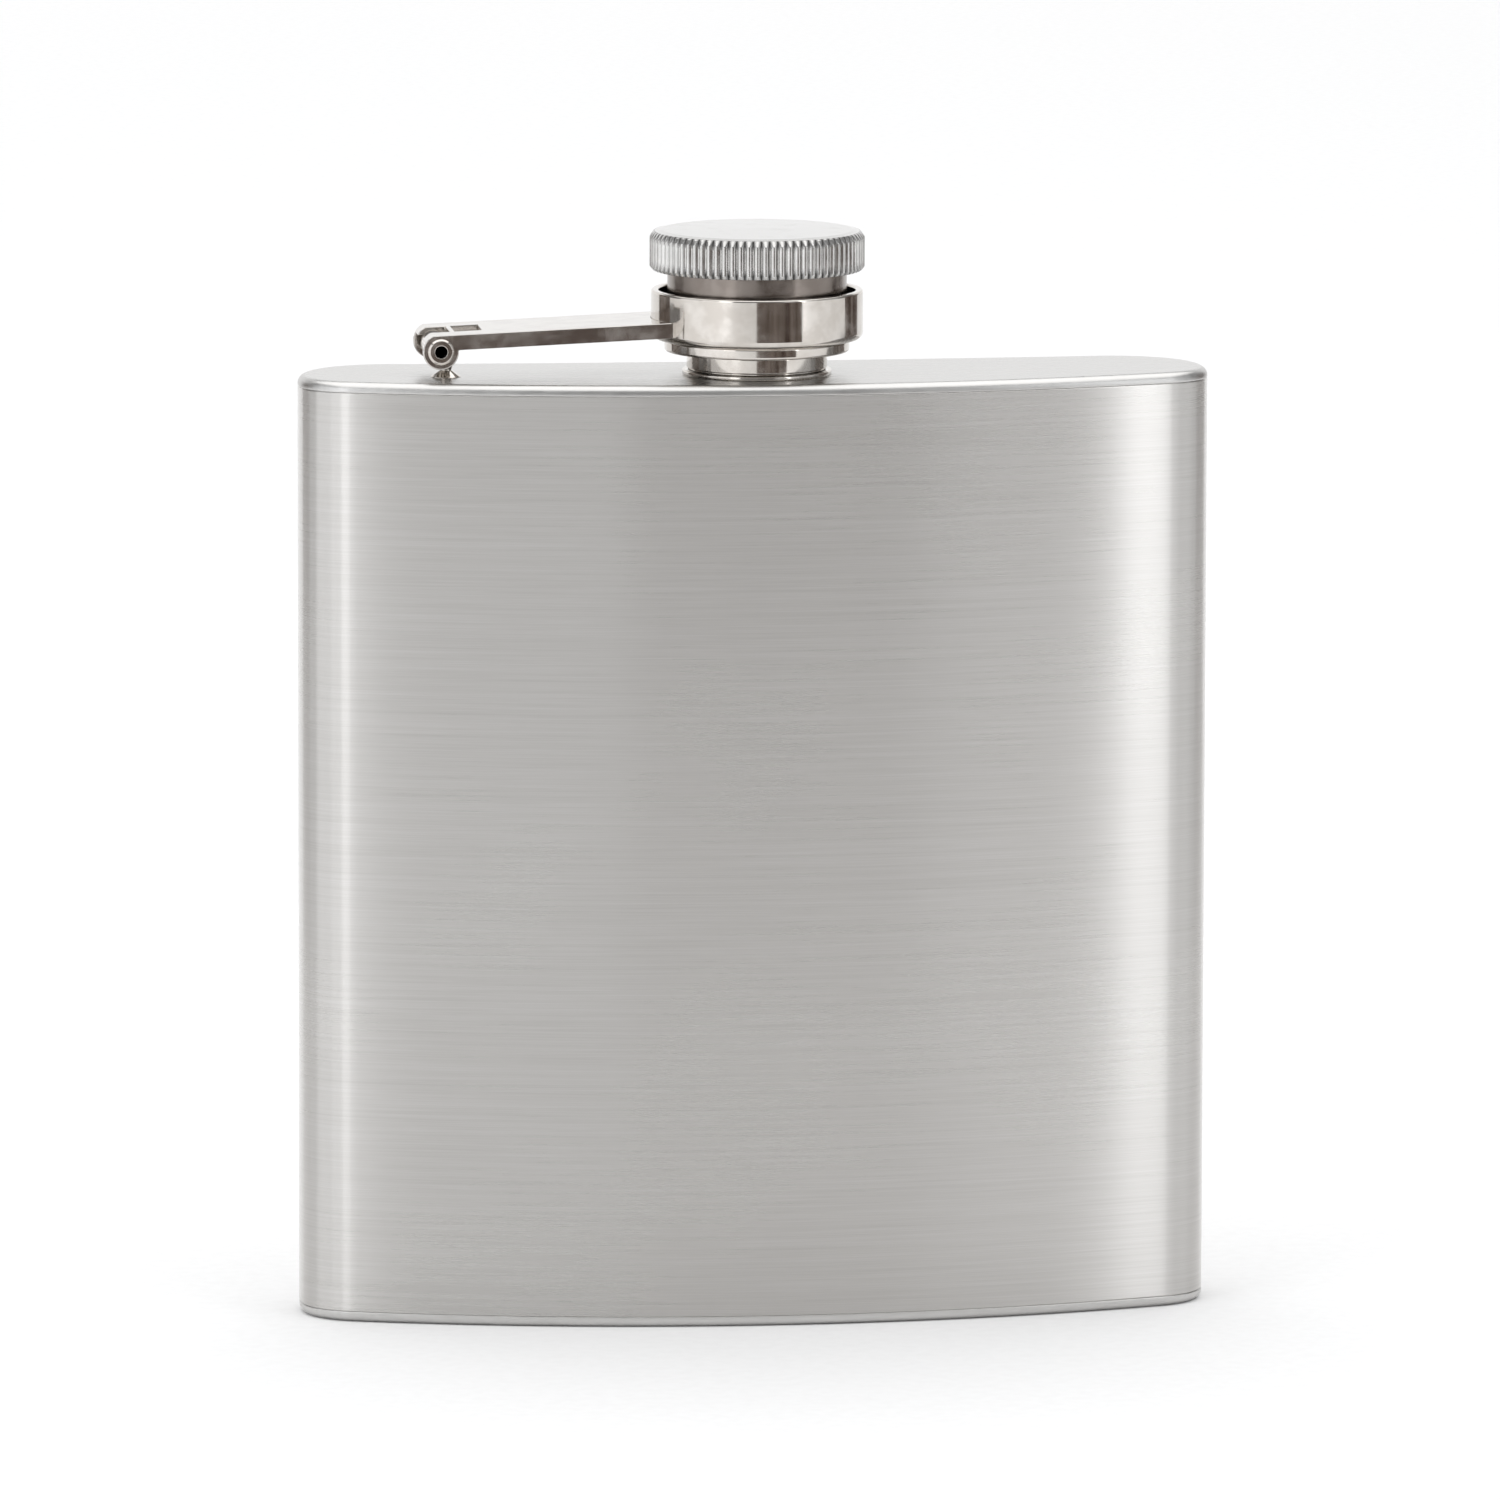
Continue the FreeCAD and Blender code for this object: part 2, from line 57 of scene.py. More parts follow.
def addNode(tree, kind, settings=None, links=None):
    # settings are properties, input values or a ramp's stops; links are input -> output socket
    node = tree.nodes.new(kind)
    for key, value in (settings or {}).items():
        if key == "stops":
            elements = node.color_ramp.elements
            while len(elements) < len(value):
                elements.new(0.5)
            for element, (place, colour) in zip(elements, value):
                element.position, element.color = place, toLinear(colour)
        elif isinstance(key, int) or key in node.inputs:
            node.inputs[key].default_value = value
        else:
            setattr(node, key, value)
    for key, socket in (links or {}).items():
        tree.links.new(socket, node.inputs[key])
    return node


def startMaterial(name, sockets=None):
    # a material with one shader; sockets are values that hold all over the surface
    material = bpy.data.materials.new(name)
    material.use_nodes = True
    tree = material.node_tree
    tree.nodes.clear()
    shader = addNode(tree, "ShaderNodeBsdfPrincipled", sockets)
    addNode(tree, "ShaderNodeOutputMaterial", links={"Surface": shader.outputs["BSDF"]})
    return material, tree, shader


def feed(tree, shader, links):
    # joins output sockets to the shader's inputs by name
    for key, socket in links.items():
        tree.links.new(socket, shader.inputs[key])


def smoothStep(value):
    # 0 to 1 with level ends: 3 times the square less 2 times the cube
    value = np.clip(value, 0, 1)
    return value * value * (3 - 2 * value)


def roundedPath(corners, closed=True, step=None, arcPoints=6):
    # straight lines with rounded corners: each corner is (across, up, radius) and its arc touches
    # both lines; short lead-in pieces keep flat walls flat, and step divides long lines
    count = len(corners)
    lead = 0.03
    parts = []
    for index, (x, y, radius) in enumerate(corners):
        here = np.array([x, y], float)
        if radius <= 0 or (not closed and index in (0, count - 1)):
            parts.append(here[None])
            continue
        before = np.array(corners[index - 1][:2], float) - here
        after = np.array(corners[(index + 1) % count][:2], float) - here
        inLength, outLength = np.linalg.norm(before), np.linalg.norm(after)
        before, after = before / inLength, after / outLength
        half = math.acos(np.clip(before @ after, -1, 1)) / 2
        touch = radius / math.tan(half)
        middle = (before + after) / np.linalg.norm(before + after)
        centre = here + middle * radius / math.sin(half)
        first, last = here + before * touch - centre, here + after * touch - centre
        sweep = math.pi - 2 * half
        share = np.linspace(0, 1, arcPoints)[:, None]
        arc = np.sin((1 - share) * sweep) * first + np.sin(share * sweep) * last
        rows = [centre + arc / math.sin(sweep)]
        if inLength > 2 * (touch + lead):
            rows.insert(0, (here + before * (touch + lead))[None])
        if outLength > 2 * (touch + lead):
            rows.append((here + after * (touch + lead))[None])
        parts.append(np.concatenate(rows))
    points = np.concatenate(parts)
    if step:
        ends = np.concatenate([points, points[:1]]) if closed else points
        pieces = []
        for start, end in zip(ends[:-1], ends[1:]):
            cuts = max(1, int(math.ceil(np.linalg.norm(end - start) / step)))
            share = np.linspace(0, 1, cuts, endpoint=False)[:, None]
            pieces.append(start + (end - start) * share)
        points = np.concatenate(pieces + ([] if closed else [ends[-1:]]))
    return points


def finishPiece(piece, material, body, node):
    # one material, one body to move with, and the node that the piece stands for
    if piece.name not in bpy.context.scene.collection.objects:
        bpy.context.scene.collection.objects.link(piece)
    piece.data.materials.clear()
    piece.data.materials.append(material)
    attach(piece, body)
    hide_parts(node)
    return piece


def gridMesh(name, rings, material, body, node, closed=True, merge=False, recess=None):
    # rings is (rows, columns, 3) in mm: columns always close on themselves, rows close if asked,
    # and merge joins the points of a pole; recess is one value a point, the painted shade for the
    # material
    rows, columns = rings.shape[:2]
    below = np.arange(rows if closed else rows - 1)
    above = (below + 1) % rows
    left = np.arange(columns)
    right = (left + 1) % columns
    faces = np.stack([
        below[:, None] * columns + left, below[:, None] * columns + right,
        above[:, None] * columns + right, above[:, None] * columns + left,
    ], axis=-1).reshape(-1, 4)
    points = rings.reshape(-1, 3) * mm
    a, b, c, d = (points[faces[:, k]] for k in range(4))
    signed = np.einsum("ij,ij->", a, np.cross(b, c)) + np.einsum("ij,ij->", a, np.cross(c, d))
    flipped = signed < 0
    if flipped:
        faces = faces[:, ::-1]
    mesh = bpy.data.meshes.new(name)
    mesh.from_pydata(points.tolist(), [], faces.tolist())

    # own map: across runs round the piece and up runs along the profile, both in mm
    sideways = np.diff(np.concatenate([rings, rings[:, :1]], 1), axis=1)
    along = np.diff(np.concatenate([rings, rings[:1]], 0), axis=0)
    across = np.concatenate([[0], np.cumsum(np.linalg.norm(sideways, axis=2).mean(0))])
    up = np.concatenate([[0], np.cumsum(np.linalg.norm(along, axis=2).max(1))])
    u = np.stack([left, left + 1, left + 1, left], -1)[None].repeat(len(below), 0)
    v = np.stack([below, below, below + 1, below + 1], -1)[:, None].repeat(columns, 1)
    flat = np.stack([across[u], up[v]], -1).reshape(-1, 4, 2)
    if flipped:
        flat = flat[:, ::-1]
    layer = mesh.uv_layers.new(name="surface")
    layer.data.foreach_set("uv", flat.reshape(-1).astype(np.float32))
    mesh.polygons.foreach_set("use_smooth", np.ones(len(faces), bool))
    if recess is not None:
        values = mesh.attributes.new("recess", "FLOAT", "POINT")
        values.data.foreach_set("value", recess.reshape(-1).astype(np.float32))
    if merge:
        weld = bmesh.new()
        weld.from_mesh(mesh)
        bmesh.ops.remove_doubles(weld, verts=weld.verts, dist=1e-8)
        weld.to_mesh(mesh)
        weld.free()
    mesh.update()
    return finishPiece(bpy.data.objects.new(name, mesh), material, body, node)


def spin(path, columns, shape=None):
    # carries a (radius, height) profile round the neck's axis, heights measured from the
    # shoulder; shape may change the radius
    turn = np.arange(columns) * 2 * math.pi / columns
    radius = np.repeat(path[:, :1], columns, 1)
    height = np.repeat(path[:, 1:], columns, 1)
    if shape:
        radius = shape(turn[None], radius, height)
    return np.stack([radius * np.cos(turn), radius * np.sin(turn), height + shoulder], -1)


def brushedSheet():
    # cold-rolled stainless sheet, belt-brushed lengthwise: a long soft vertical glow across
    # fine level scratches, slightly warm; scratch width is drawn coarse enough to show
    look = {
        "colour": "#CAC8C5", "dull": "#C4C2BF", "bright": "#D0CECC",
        "roughness": (0.26, 0.305), "anisotropic": 0.95,
        "scratchLength": 12.0, "scratchWidth": 0.10, "wider": 4, "fineShare": 0.6,
        "patch": 22.0, "bumpHeight": 0.0008, "bumpStrength": 0.13,
    }
    material, tree, shader = startMaterial("stainlessBrushedLengthwise", {
        "Metallic": 1.0, "Anisotropic": look["anisotropic"], "Anisotropic Rotation": 0.25,
    })
    surface = addNode(tree, "ShaderNodeUVMap", {"uv_map": "surface"})
    length, width = look["scratchLength"], look["scratchWidth"]
    stretch = addNode(tree, "ShaderNodeMapping", {
        "Scale": (1 / length, 1 / width, 1.0),
    }, {"Vector": surface.outputs["UV"]})
    fine = addNode(tree, "ShaderNodeTexNoise", {"Scale": 1.0, "Detail": 3.0, "Roughness": 0.65},
                   {"Vector": stretch.outputs["Vector"]})
    wideStretch = addNode(tree, "ShaderNodeMapping", {
        "Scale": (1 / (look["wider"] * length), 1 / (look["wider"] * width), 1.0),
        "Location": (3.1, 7.7, 0.0),
    }, {"Vector": surface.outputs["UV"]})
    wide = addNode(tree, "ShaderNodeTexNoise", {"Scale": 1.0, "Detail": 2.0},
                   {"Vector": wideStretch.outputs["Vector"]})
    wideShare = addNode(tree, "ShaderNodeMath", {
        "operation": "MULTIPLY", 1: 1 - look["fineShare"],
    }, {0: wide.outputs["Fac"]})
    scratches = addNode(tree, "ShaderNodeMath", {
        "operation": "MULTIPLY_ADD", 1: look["fineShare"],
    }, {0: fine.outputs["Fac"], 2: wideShare.outputs[0]})
    colour = addNode(tree, "ShaderNodeValToRGB", {"stops": [
        (0.36, look["dull"]), (0.5, look["colour"]), (0.66, look["bright"]),
    ]}, {"Fac": scratches.outputs[0]})
    place = addNode(tree, "ShaderNodeTexCoord")
    patch = addNode(tree, "ShaderNodeTexNoise", {
        "Scale": 1 / (look["patch"] * mm), "Detail": 2.0,
    }, {"Vector": place.outputs["Object"]})
    patchShare = addNode(tree, "ShaderNodeMath", {"operation": "MULTIPLY", 1: 0.5},
                         {0: patch.outputs["Fac"]})
    mixed = addNode(tree, "ShaderNodeMath", {"operation": "MULTIPLY_ADD", 1: 0.5},
                    {0: scratches.outputs[0], 2: patchShare.outputs[0]})
    rough = addNode(tree, "ShaderNodeMapRange", {
        "From Min": 0.35, "From Max": 0.65,
        "To Min": look["roughness"][0], "To Max": look["roughness"][1],
    }, {"Value": mixed.outputs[0]})
    bump = addNode(tree, "ShaderNodeBump", {
        "Strength": look["bumpStrength"], "Distance": look["bumpHeight"] * mm,
    }, {"Height": scratches.outputs[0]})
    tangent = addNode(tree, "ShaderNodeTangent", {"direction_type": "UV_MAP", "uv_map": "surface"})
    feed(tree, shader, {
        "Base Color": colour.outputs["Color"], "Roughness": rough.outputs["Result"],
        "Normal": bump.outputs["Normal"], "Tangent": tangent.outputs["Tangent"],
    })
    return material


def satinPlate():
    # drawn stainless plate: satin grain on the flat, softer round the rim
    look = {
        "colour": "#CFCECC", "dull": "#C9C8C6", "roughness": (0.24, 0.30), "rimRoughness": 0.32,
        "grain": 0.35, "grainStretch": 30, "bumpHeight": 0.0008, "bumpStrength": 0.08,
    }
    material, tree, shader = startMaterial("stainlessSatinDrawn", {"Metallic": 1.0})
    place = addNode(tree, "ShaderNodeTexCoord")
    fine = 1 / (look["grain"] * mm)
    stretch = addNode(tree, "ShaderNodeMapping", {
        "Scale": (fine / look["grainStretch"], fine, fine),
    }, {"Vector": place.outputs["Object"]})
    grain = addNode(tree, "ShaderNodeTexNoise", {"Scale": 1.0, "Detail": 3.0},
                    {"Vector": stretch.outputs["Vector"]})
    colour = addNode(tree, "ShaderNodeValToRGB", {
        "stops": [(0.35, look["dull"]), (0.6, look["colour"])],
    }, {"Fac": grain.outputs["Fac"]})
    geometry = addNode(tree, "ShaderNodeNewGeometry")
    facing = addNode(tree, "ShaderNodeSeparateXYZ", links={"Vector": geometry.outputs["Normal"]})
    level = addNode(tree, "ShaderNodeMath", {"operation": "ABSOLUTE"}, {0: facing.outputs["Z"]})
    low, high = look["roughness"]
    rim = addNode(tree, "ShaderNodeMapRange", {
        "From Min": 0.9, "From Max": 0.995, "To Min": look["rimRoughness"], "To Max": low,
    }, {"Value": level.outputs[0]})
    spread = addNode(tree, "ShaderNodeMapRange", {
        "From Min": 0.35, "From Max": 0.65, "To Min": 0.0, "To Max": high - low,
    }, {"Value": grain.outputs["Fac"]})
    rough = addNode(tree, "ShaderNodeMath", {"operation": "ADD"},
                    {0: rim.outputs["Result"], 1: spread.outputs["Result"]})
    bump = addNode(tree, "ShaderNodeBump", {
        "Strength": look["bumpStrength"], "Distance": look["bumpHeight"] * mm,
    }, {"Height": grain.outputs["Fac"]})
    feed(tree, shader, {
        "Base Color": colour.outputs["Color"], "Roughness": rough.outputs[0],
        "Normal": bump.outputs["Normal"],
    })
    return material


def polishedSteel(name, colour, dull, roughness, paintedShadeColour=None):
    # machined stainless, buffed to a mirror: faint lathe waviness, hairline wear, and painted shade
    # (a darker colour, the metal faded out) wherever the mesh's recess value is set
    look = {
        "wear": 2.381, "lathe": (11.11, 11.11, 0.2857), "wave": 3.846, "bumpStrength": 0.12,
        "latheHeight": 0.0015, "waveHeight": 0.03,
    }
    material, tree, shader = startMaterial(name, {"Metallic": 1.0})
    place = addNode(tree, "ShaderNodeTexCoord")
    wear = addNode(tree, "ShaderNodeTexNoise", {
        "Scale": 1 / (look["wear"] * mm), "Detail": 4.0, "Roughness": 0.6,
    }, {"Vector": place.outputs["Object"]})
    tint = addNode(tree, "ShaderNodeValToRGB", {"stops": [(0.38, dull), (0.58, colour)]},
                   {"Fac": wear.outputs["Fac"]})
    finish = tint.outputs["Color"]
    # painted shade: darkens the colour and fades out the metal by the mesh's recess value
    if paintedShadeColour:
        recess = addNode(tree, "ShaderNodeAttribute", {"attribute_name": "recess"})
        paintedShadeTint = addNode(tree, "ShaderNodeValToRGB", {"stops": [(0.0, "#FFFFFF"), (1.0, paintedShadeColour)]},
                        {"Fac": recess.outputs["Fac"]})
        shadedFinish = addNode(tree, "ShaderNodeMixRGB", {"blend_type": "MULTIPLY", "Fac": 1.0},
                          {"Color1": finish, "Color2": paintedShadeTint.outputs["Color"]})
        finish = shadedFinish.outputs["Color"]
        for socket, unshaded in (("Metallic", 1.0), ("Specular IOR Level", 0.5)):
            fade = addNode(tree, "ShaderNodeMapRange", {"To Min": unshaded, "To Max": 0.0},
                           {"Value": recess.outputs["Fac"]})
            feed(tree, shader, {socket: fade.outputs["Result"]})
    rough = addNode(tree, "ShaderNodeMapRange", {
        "From Min": 0.35, "From Max": 0.68, "To Min": roughness[0], "To Max": roughness[1],
    }, {"Value": wear.outputs["Fac"]})
    turned = addNode(tree, "ShaderNodeMapping", {
        "Scale": tuple(1 / (size * mm) for size in look["lathe"]),
    }, {"Vector": place.outputs["Object"]})
    lathe = addNode(tree, "ShaderNodeTexNoise", {"Scale": 1.0, "Detail": 2.0},
                    {"Vector": turned.outputs["Vector"]})
    wave = addNode(tree, "ShaderNodeTexNoise", {"Scale": 1 / (look["wave"] * mm), "Detail": 1.0},
                   {"Vector": place.outputs["Object"]})
    latheBump = addNode(tree, "ShaderNodeBump", {
        "Strength": look["bumpStrength"], "Distance": look["latheHeight"] * mm,
    }, {"Height": lathe.outputs["Fac"]})
    bump = addNode(tree, "ShaderNodeBump", {
        "Strength": look["bumpStrength"], "Distance": look["waveHeight"] * mm,
    }, {"Height": wave.outputs["Fac"], "Normal": latheBump.outputs["Normal"]})
    feed(tree, shader, {
        "Base Color": finish, "Roughness": rough.outputs["Result"],
        "Normal": bump.outputs["Normal"],
    })
    return material


def weldSteel():
    # weld bead left as it froze: dull, straw to blue tints, rippled across its run
    look = {"ripple": 1.745, "roughness": 0.45, "bumpHeight": 0.05, "bumpStrength": 0.5}
    material, tree, shader = startMaterial("stainlessWeldBead", {
        "Metallic": 1.0, "Roughness": look["roughness"],
    })
    place = addNode(tree, "ShaderNodeTexCoord")
    ripple = addNode(tree, "ShaderNodeTexWave", {
        "Scale": math.pi / (10 * look["ripple"] * mm), "Distortion": 2.0, "bands_direction": "Z",
    }, {"Vector": place.outputs["Object"]})
    tint = addNode(tree, "ShaderNodeValToRGB", {
        "stops": [(0.2, "#7C7A80"), (0.6, "#A08F75"), (0.9, "#B9B2A6")],
    }, {"Fac": ripple.outputs["Fac"]})
    bump = addNode(tree, "ShaderNodeBump", {
        "Strength": look["bumpStrength"], "Distance": look["bumpHeight"] * mm,
    }, {"Height": ripple.outputs["Fac"]})
    feed(tree, shader, {
        "Base Color": tint.outputs["Color"], "Normal": bump.outputs["Normal"],
    })
    return material


def siliconeSeal():
    # moulded translucent silicone: milky, soft sheen, faint mottling
    look = {"mottle": 1.667, "roughness": (0.38, 0.55), "bumpHeight": 0.02, "bumpStrength": 0.2}
    material, tree, shader = startMaterial("siliconeMoulded", {
        "Subsurface Weight": 0.3, "Subsurface Radius": (0.002, 0.002, 0.0018), "IOR": 1.41,
    })
    place = addNode(tree, "ShaderNodeTexCoord")
    mottle = addNode(tree, "ShaderNodeTexNoise", {
        "Scale": 1 / (look["mottle"] * mm), "Detail": 3.0,
    }, {"Vector": place.outputs["Object"]})
    tint = addNode(tree, "ShaderNodeValToRGB", {"stops": [(0.35, "#DDDCD6"), (0.65, "#ECEBE6")]},
                   {"Fac": mottle.outputs["Fac"]})
    rough = addNode(tree, "ShaderNodeMapRange", {
        "To Min": look["roughness"][0], "To Max": look["roughness"][1],
    }, {"Value": mottle.outputs["Fac"]})
    bump = addNode(tree, "ShaderNodeBump", {
        "Strength": look["bumpStrength"], "Distance": look["bumpHeight"] * mm,
    }, {"Height": mottle.outputs["Fac"]})
    feed(tree, shader, {
        "Base Color": tint.outputs["Color"], "Roughness": rough.outputs["Result"],
        "Normal": bump.outputs["Normal"],
    })
    return material


sheetSteel = brushedSheet()
plateSteel = satinPlate()
# each is colour, dull colour, lowest and highest roughness, and painted shade colour where there is
# any
finishes = {
    "stainlessMirrorPolished": ("#D3CEC8", "#C6C0B9", (0.06, 0.14)),
    "stainlessPressedPolished": ("#D3CFCA", "#C6C1BC", (0.08, 0.16)),
    # the knurled head's last entry is the colour of its painted shade in the valleys
    "stainlessKnurledPolishedPaintedShade": ("#CFCECC", "#C4C3C1", (0.12, 0.22), "#26221F"),
    # the liner's darker colours are painted shade, for the head's overhang above it
    "stainlessTurnedLinerPaintedShade": ("#8E8680", "#7E7670", (0.16, 0.28)),
    "stainlessRivetTubePaintedShade": ("#D3CEC8", "#C6C0B9", (0.08, 0.16), "#1C1817"),
}
fittingSteel, armSteel, capSteel, linerSteel, pinSteel = (
    polishedSteel(name, *finish) for name, finish in finishes.items()
)
beadSteel = weldSteel()
sealRubber = siliconeSeal()
print("materials made")


# the flask's plan, shared by sleeve and plates, in mm
plan = {
    "width": 95.0, "thickness": 22.6, "frontRadius": 134.0, "rearRadius": 626.0,
    "frontCorner": 7.0, "rearCorner": 9.5, "rim": 1.1, "sheet": 0.6,
    "frontPoints": 60, "nearPoints": 26, "farPoints": 36, "rearPoints": 50,
}


def planLoop(inset=0.0):
    # bowed front arc, near corner, short flat, far corner, hollow rear arc, and the same mirrored;
    # every arc keeps its centre as the outline moves inwards by inset
    half = plan["width"] / 2 - inset
    front, rear = plan["frontRadius"] - inset, plan["rearRadius"] + inset
    near, far = plan["frontCorner"] - inset, plan["rearCorner"] - inset
    frontY = plan["frontRadius"] - plan["thickness"] / 2
    rearY = plan["rearRadius"] + plan["thickness"] / 2
    nearY = frontY - math.sqrt((front - near) ** 2 - (half - near) ** 2)
    farY = rearY - math.sqrt((rear + far) ** 2 - (half - far) ** 2)
    leanNear = math.atan2(nearY - frontY, half - near)
    leanFar = math.atan2(rearY - farY, half - far)

    def arc(x, y, radius, start, end, count):
        turn = np.linspace(start, end, count, endpoint=False)
        return np.stack([x + radius * np.cos(turn), y + radius * np.sin(turn)], -1)

    right = np.concatenate([
        arc(0, frontY, front, -math.pi / 2, leanNear, plan["frontPoints"]),
        arc(half - near, nearY, near, leanNear, 0, plan["nearPoints"]),
        np.array([[half, nearY]]),
        arc(half - far, farY, far, 0, leanFar, plan["farPoints"]),
        arc(0, rearY, rear, -leanFar, -math.pi / 2, plan["rearPoints"]),
        np.array([[0.0, rearY - rear]]),
    ])
    left = right[1:-1][::-1] * (-1, 1)
    loop = np.concatenate([right, left])
    return np.roll(loop, -int(np.argmin(loop[:, 0])), axis=0)  # starts at the left end, by the weld


def planRings(path):
    # path is (inset, height) rows; each becomes one outline at that height
    rings = []
    for inset, height in path:
        outline = planLoop(inset)
        rings.append(np.concatenate([outline, np.full((len(outline), 1), height)], 1))
    return np.stack(rings)


def holeRing(radius, height):
    # circle round the neck with one point on the same ray as each point of the outline
    outline = planLoop()
    turn = np.arctan2(outline[:, 1], outline[:, 0])
    level = np.full(len(turn), height)
    return np.stack([radius * np.cos(turn), radius * np.sin(turn), level], -1)[None]


# radii, and heights above the shoulder, in mm
neck = {
    "bore": 5.6, "spigot": 7.0, "foot": -1.2, "hole": 7.02, "seat": 7.75, "seatTop": 0.5,
    "groove": 7.1, "grooveTop": 0.7, "collar": 7.3, "step": 2.3,
    "root": 6.65, "crest": 7.1, "pitch": 1.5, "start": 3.2, "top": 10.7, "lip": 0.4,
    "edge": 0.1, "grooveEdge": 0.03, "grooveRound": 0.05, "collarEdge": 0.08, "stepRound": 0.2,
    "lipEdge": 0.05, "lipRound": 0.15, "boreRound": 0.2, "seatRound": 0.2,
    "columns": 192, "seatColumns": 144, "stepLength": 0.12,
    "threadIn": 0.3, "threadInLength": 0.7, "threadOutLength": 0.8,
    "ridge": 0.36, "ridgeFlank": 0.2,
}


def makeShell():
    # sleeve wall: a thin upright rectangle with rounded edges, carried round the plan
    look = {"edge": 0.12, "innerEdge": 0.05}
    low, high = plan["rim"], shoulder - plan["rim"]
    path = roundedPath([
        (0, low, look["edge"]), (0, high, look["edge"]),
        (plan["sheet"], high, look["innerEdge"]), (plan["sheet"], low, look["innerEdge"]),
    ])
    gridMesh("shellSleeve", planRings(path), sheetSteel, "flask", "body_shell")


def makePlate(name, node, up, hole):
    # rounded rim, flat face, skirt that goes down inside the sleeve; up is 1 for the shoulder and
    # -1 for the base, which is the same plate turned over; close rings round the hole keep its
    # edge crisp
    look = {
        "round": 0.9, "edge": 0.1, "skirt": 2.5, "skirtWall": 0.5, "skirtEdge": 0.02, "bend": 0.2,
        "gap": 0.65, "band": 2.4, "holeSteps": (0.0, 0.04, 0.3, 1.0),
    }
    inner = look["gap"] + look["skirtWall"]
    foot = -plan["rim"] - look["skirt"]
    path = roundedPath([
        (look["band"], 0, 0), (0, 0, look["round"]), (0, -plan["rim"], look["edge"]),
        (look["gap"], -plan["rim"], look["skirtEdge"]), (look["gap"], foot, look["edge"]),
        (inner, foot, look["edge"]), (inner, -plan["sheet"], look["bend"]),
        (look["band"], -plan["sheet"], 0),
    ], closed=False, arcPoints=9)
    near = [holeRing(hole + step, 0.0) for step in look["holeSteps"]]
    under = [holeRing(hole + step, -plan["sheet"]) for step in look["holeSteps"][::-1]]
    rings = np.concatenate(near + [planRings(path)] + under)
    rings[:, :, 2] = rings[:, :, 2] * up + (shoulder if up > 0 else 0)
    gridMesh(name, rings, plateSteel, "flask", node, merge=hole == 0)


makeShell()
makePlate("shoulderPan", "shoulder_plate", 1, neck["hole"])
makePlate("basePan", "base_plate", -1, 0.0)
print("flask made")


def threadShape(turn, radius, height):
    # ridge height follows height minus pitch times turn: one ridge a pitch, faded at both ends
    phase = (height - neck["start"]) / neck["pitch"] - turn / (2 * math.pi)
    across = np.abs(phase - np.round(phase))
    ridge = smoothStep((neck["ridge"] - across) / neck["ridgeFlank"])
    fade = smoothStep((height - neck["step"] - neck["threadIn"]) / neck["threadInLength"])
    fade = fade * smoothStep((neck["top"] - neck["lip"] - height) / neck["threadOutLength"])
    outside = np.abs(radius - neck["root"]) < 1e-6
    return radius + outside * ridge * fade * (neck["crest"] - neck["root"])


def makeNeck():
    # spout: a stepped profile with a groove, collar, threaded wall and rounded lip, spun round
    # the neck's axis; the seat is a low square ring with one rounded edge
    root, top, lip = neck["root"], neck["top"], neck["lip"]
    path = roundedPath([
        (neck["bore"], neck["foot"], neck["edge"]), (neck["spigot"], neck["foot"], neck["edge"]),
        (neck["spigot"], neck["seatTop"], 0), (neck["groove"], neck["seatTop"], neck["grooveEdge"]),
        (neck["groove"], neck["grooveTop"], neck["grooveRound"]),
        (neck["collar"], neck["grooveTop"], neck["collarEdge"]),
        (neck["collar"], neck["step"], neck["stepRound"]), (root, neck["step"], neck["edge"]),
        (root, top - lip, neck["lipEdge"]), (root - lip, top, neck["lipRound"]),
        (neck["bore"], top, neck["boreRound"]),
    ], step=neck["stepLength"])
    spout = spin(path, neck["columns"], threadShape)
    gridMesh("neckSpout", spout, fittingSteel, "flask", "neck_tube")
    path = roundedPath([
        (neck["hole"], 0, 0), (neck["seat"], 0, 0),
        (neck["seat"], neck["seatTop"], neck["seatRound"]), (neck["hole"], neck["seatTop"], 0),
    ])
    seat = spin(path, neck["seatColumns"])
    gridMesh("neckSeat", seat, fittingSteel, "flask", "neck_seat_ring")


makeNeck()
print("neck made")


def makeCollar():
    # arm's ring: an upright wall with a lip turned inwards at its foot, spun round the axis
    look = {
        "lip": 8.95, "inside": 10.2, "outside": 11.0, "foot": 3.67, "lipTop": 4.47, "top": 8.8,
        "footRound": 0.7, "topRound": 0.25, "insideRound": 0.3, "edge": 0.2, "columns": 224,
    }
    path = roundedPath([
        (look["lip"], look["foot"], look["edge"]),
        (look["outside"], look["foot"], look["footRound"]),
        (look["outside"], look["top"], look["topRound"]),
        (look["inside"], look["top"], look["edge"]),
        (look["inside"], look["lipTop"], look["insideRound"]),
        (look["lip"], look["lipTop"], look["edge"]),
    ], arcPoints=8)
    gridMesh("armCollar", spin(path, look["columns"]), fittingSteel, "arm", "arm_ring")


